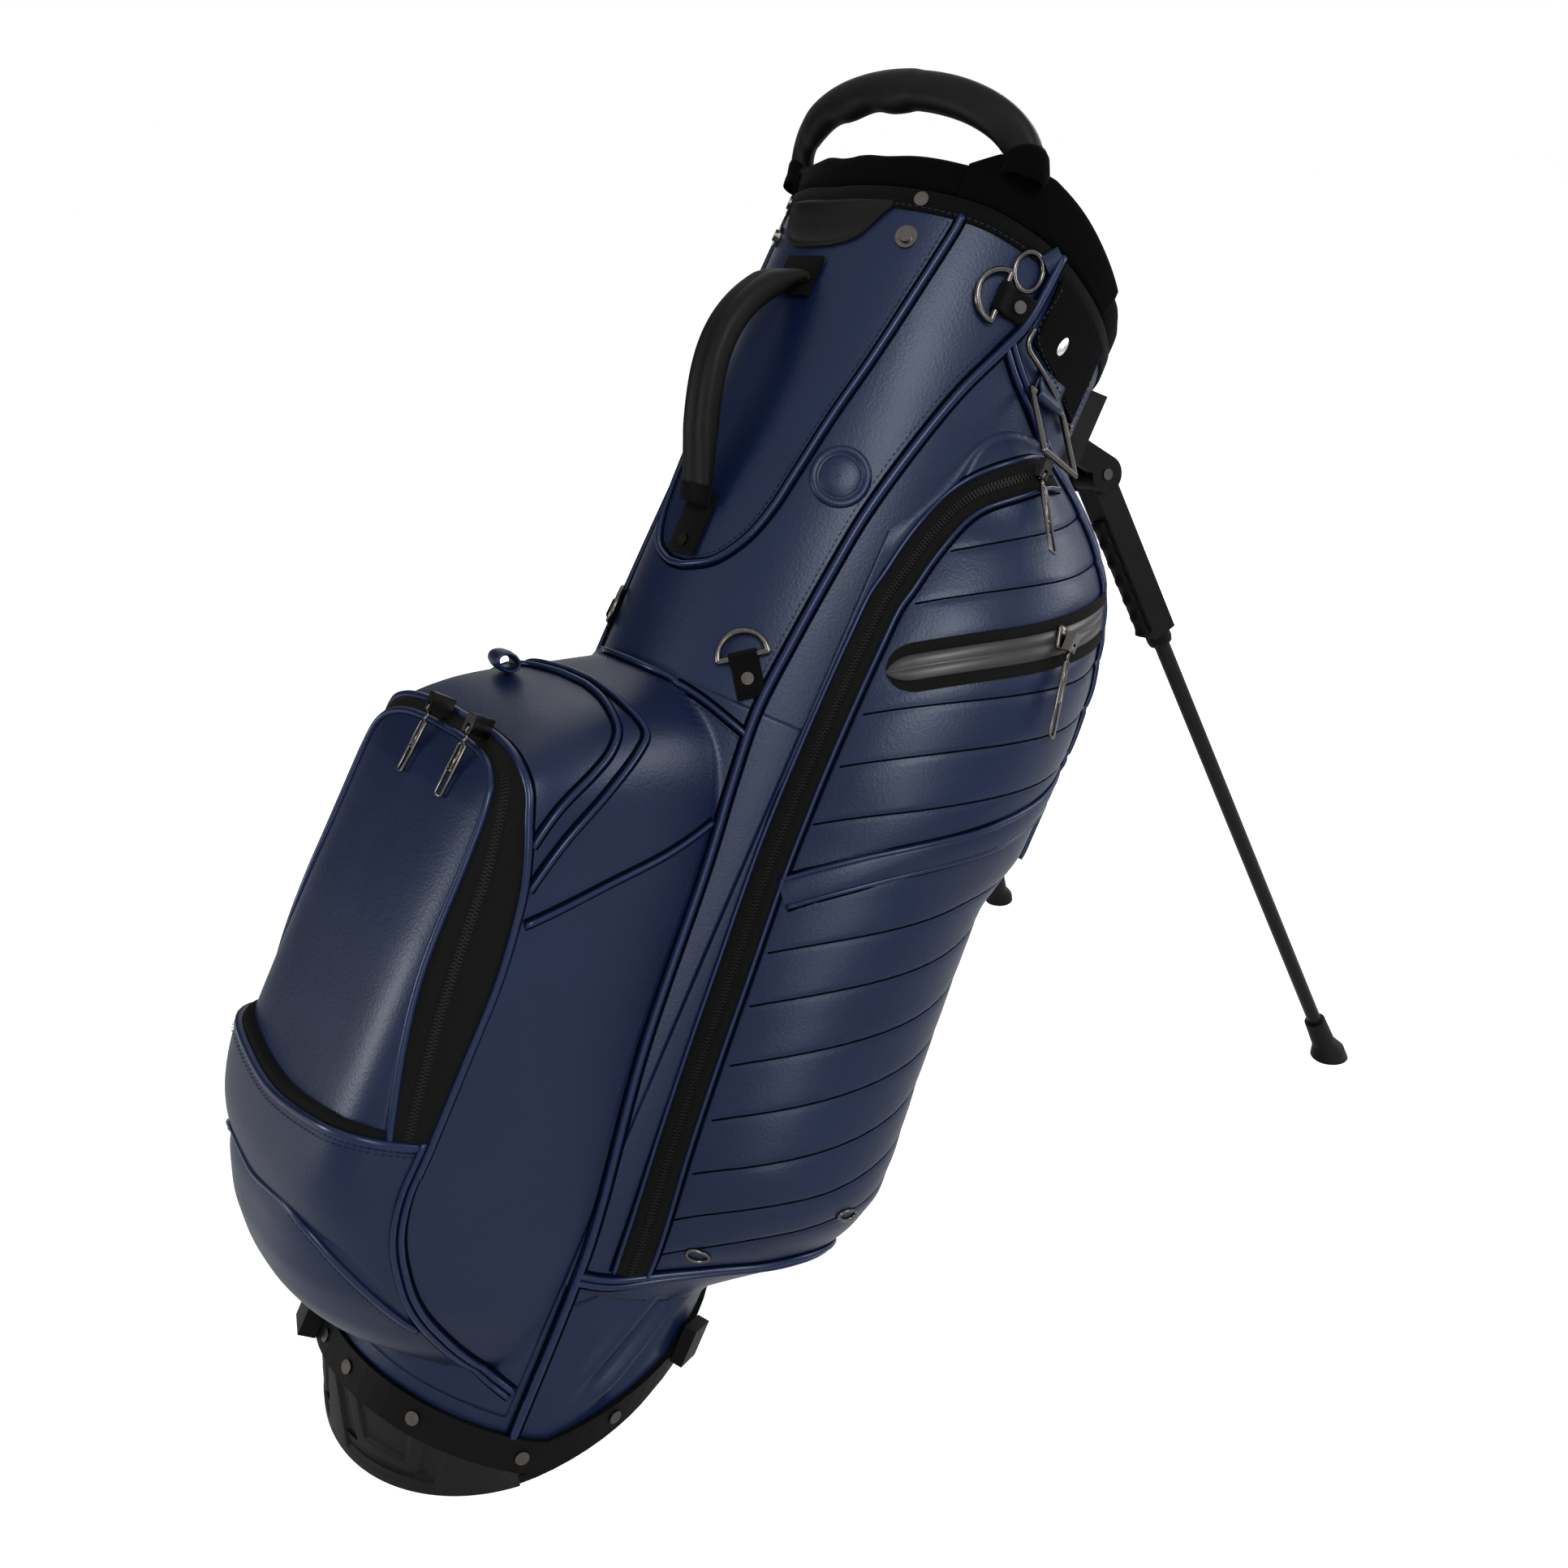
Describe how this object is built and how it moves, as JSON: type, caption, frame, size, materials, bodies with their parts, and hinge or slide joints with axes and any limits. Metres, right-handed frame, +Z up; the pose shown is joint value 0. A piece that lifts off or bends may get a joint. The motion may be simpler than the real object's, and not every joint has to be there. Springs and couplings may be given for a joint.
{
  "type": "golf stand bag",
  "caption": "Golf stand bag with a leather tube, padded divided club mouth, zipped pockets, top and carry handles, a hinged base foot and folding spring-out legs.",
  "frame": {"origin": "on the floor under the base hinge line, in the middle plane of the bag", "axes": "+Z up from the floor, +X towards the legs (the way the bag leans), -Y the pictured pocket side"},
  "size_m": [0.9015, 0.4384, 0.8181],
  "materials": {
    "leather": "semi-gloss pebbled leather",
    "fabric": "woven webbing and zip tape",
    "plastic": "moulded satin",
    "rubber": "matte moulded",
    "leg_tube": "dark anodised",
    "metal": "black nickel"
  },
  "bodies": {
    "bag": {"spine_panel": "leather", "side_panel_right": "leather", "side_panel_left": "leather", "belly_panel": "leather", "base_band": "plastic", "base_floor": "plastic", "base_hinge_pin": "metal", "base_rivets": "metal", "base_lugs": "plastic", "stay_rods": "leg_tube", "top_collar": "plastic", "club_dividers": "plastic", "divider_cloth": "fabric", "cuff_pad": "fabric", "rim_binding": "fabric", "rim_snaps": "metal", "badge_patch": "rubber", "top_handle": "rubber", "handle_sleeves": "fabric", "carry_handle": "rubber", "carry_handle_tabs": "fabric", "tab_rivets": "metal", "magnet_buttons": "leather", "ball_pocket_body": "leather", "ball_pocket_panel": "leather", "ball_zip_gusset": "fabric", "slip_pocket": "leather", "pull_loop": "leather", "apparel_pocket_right": "leather", "apparel_pocket_left": "leather", "apparel_tape_right": "fabric", "apparel_tape_left": "fabric", "valuables_welt_right": "fabric", "valuables_welt_left": "fabric", "ring_tabs": "fabric", "glove_flap": "leather", "strap_tab": "leather", "leg_bracket": "plastic", "leg_clevises": "plastic", "leg_pins": "metal", "rod_guides": "plastic", "zip_sliders": "metal"},
    "foot": {"base_foot": "plastic"},
    "leg_right": {"leg_head_right": "plastic", "leg_tube_right": "leg_tube", "leg_tip_right": "rubber"},
    "leg_left": {"leg_head_left": "plastic", "leg_tube_left": "leg_tube", "leg_tip_left": "rubber"},
    "rods": {"push_rods": "metal"},
    "ring_upper": {"ring_upper": "metal"},
    "ring_mid_right": {"ring_mid_right": "metal"},
    "ring_mid_left": {"ring_mid_left": "metal"},
    "strap_ring": {"strap_ring": "metal"},
    "ball_pull_a": {"ball_pull_a": "metal"},
    "ball_pull_b": {"ball_pull_b": "metal"},
    "apparel_pull_right": {"apparel_pull_right": "metal"},
    "apparel_pull_left": {"apparel_pull_left": "metal"},
    "valuables_pull": {"valuables_pull": "metal"}
  },
  "joints": [
    {"name": "base_hinge", "type": "hinge", "parent": "bag", "child": "foot", "pos_m": [0, 0, 0.0095], "axis": [0, 1, 0], "range_deg": [0, 28]},
    {"name": "leg_right_swing", "type": "hinge", "parent": "bag", "child": "leg_right", "pos_m": [0.56176, -0.078, 0.5522], "axis": [0.2048, 0.969, -0.1381], "range_deg": [0, 54]},
    {"name": "leg_left_swing", "type": "hinge", "parent": "bag", "child": "leg_left", "pos_m": [0.56176, 0.078, 0.5522], "axis": [-0.2048, 0.969, 0.1381], "range_deg": [0, 54]},
    {"name": "rod_slide", "type": "slide", "parent": "bag", "child": "rods", "axis": [-0.5592, 0, -0.829], "range_m": [0, 0.07]},
    {"name": "ring_upper_swing", "type": "hinge", "parent": "bag", "child": "ring_upper", "pos_m": [0.42485, -0.11138, 0.68676], "axis": [0.5592, 0, 0.829], "range_deg": [0, 95]},
    {"name": "ring_mid_right_swing", "type": "hinge", "parent": "bag", "child": "ring_mid_right", "pos_m": [0.23987, -0.07347, 0.49188], "axis": [0.7199, -0.6627, 0.2063], "range_deg": [0, 95]},
    {"name": "ring_mid_left_swing", "type": "hinge", "parent": "bag", "child": "ring_mid_left", "pos_m": [0.23987, 0.07347, 0.49188], "axis": [-0.7199, -0.6627, -0.2063], "range_deg": [0, 95]},
    {"name": "strap_ring_swing", "type": "hinge", "parent": "bag", "child": "strap_ring", "pos_m": [0.45426, -0.12492, 0.62108], "axis": [-0.8285, -0.0349, 0.5589], "range_deg": [0, 45]},
    {"name": "ball_pull_a_swing", "type": "hinge", "parent": "bag", "child": "ball_pull_a", "pos_m": [0.07088, 0.01234, 0.48163], "axis": [0.0434, 0.9986, -0.0293], "range_deg": [0, 70]},
    {"name": "ball_pull_b_swing", "type": "hinge", "parent": "bag", "child": "ball_pull_b", "pos_m": [0.07092, -0.03729, 0.4816], "axis": [-0.1297, 0.9877, 0.0875], "range_deg": [0, 70]},
    {"name": "apparel_pull_right_swing", "type": "hinge", "parent": "bag", "child": "apparel_pull_right", "pos_m": [0.4205, -0.15149, 0.58355], "axis": [-0.8289, 0.0175, 0.5591], "range_deg": [0, 70]},
    {"name": "apparel_pull_left_swing", "type": "hinge", "parent": "bag", "child": "apparel_pull_left", "pos_m": [0.4205, 0.15149, 0.58355], "axis": [0.8289, 0.0175, -0.5591], "range_deg": [0, 70]},
    {"name": "valuables_pull_swing", "type": "hinge", "parent": "bag", "child": "valuables_pull", "pos_m": [0.4025, -0.19398, 0.48472], "axis": [-0.8138, -0.1908, 0.5489], "range_deg": [0, 70]}
  ],
  "couplings": [
    {"joint": "leg_right_swing", "follows": "base_hinge", "ratio": 1.9276},
    {"joint": "leg_left_swing", "follows": "base_hinge", "ratio": 1.9276},
    {"joint": "rod_slide", "follows": "base_hinge", "m_per_rad": 0.14283}
  ]
}
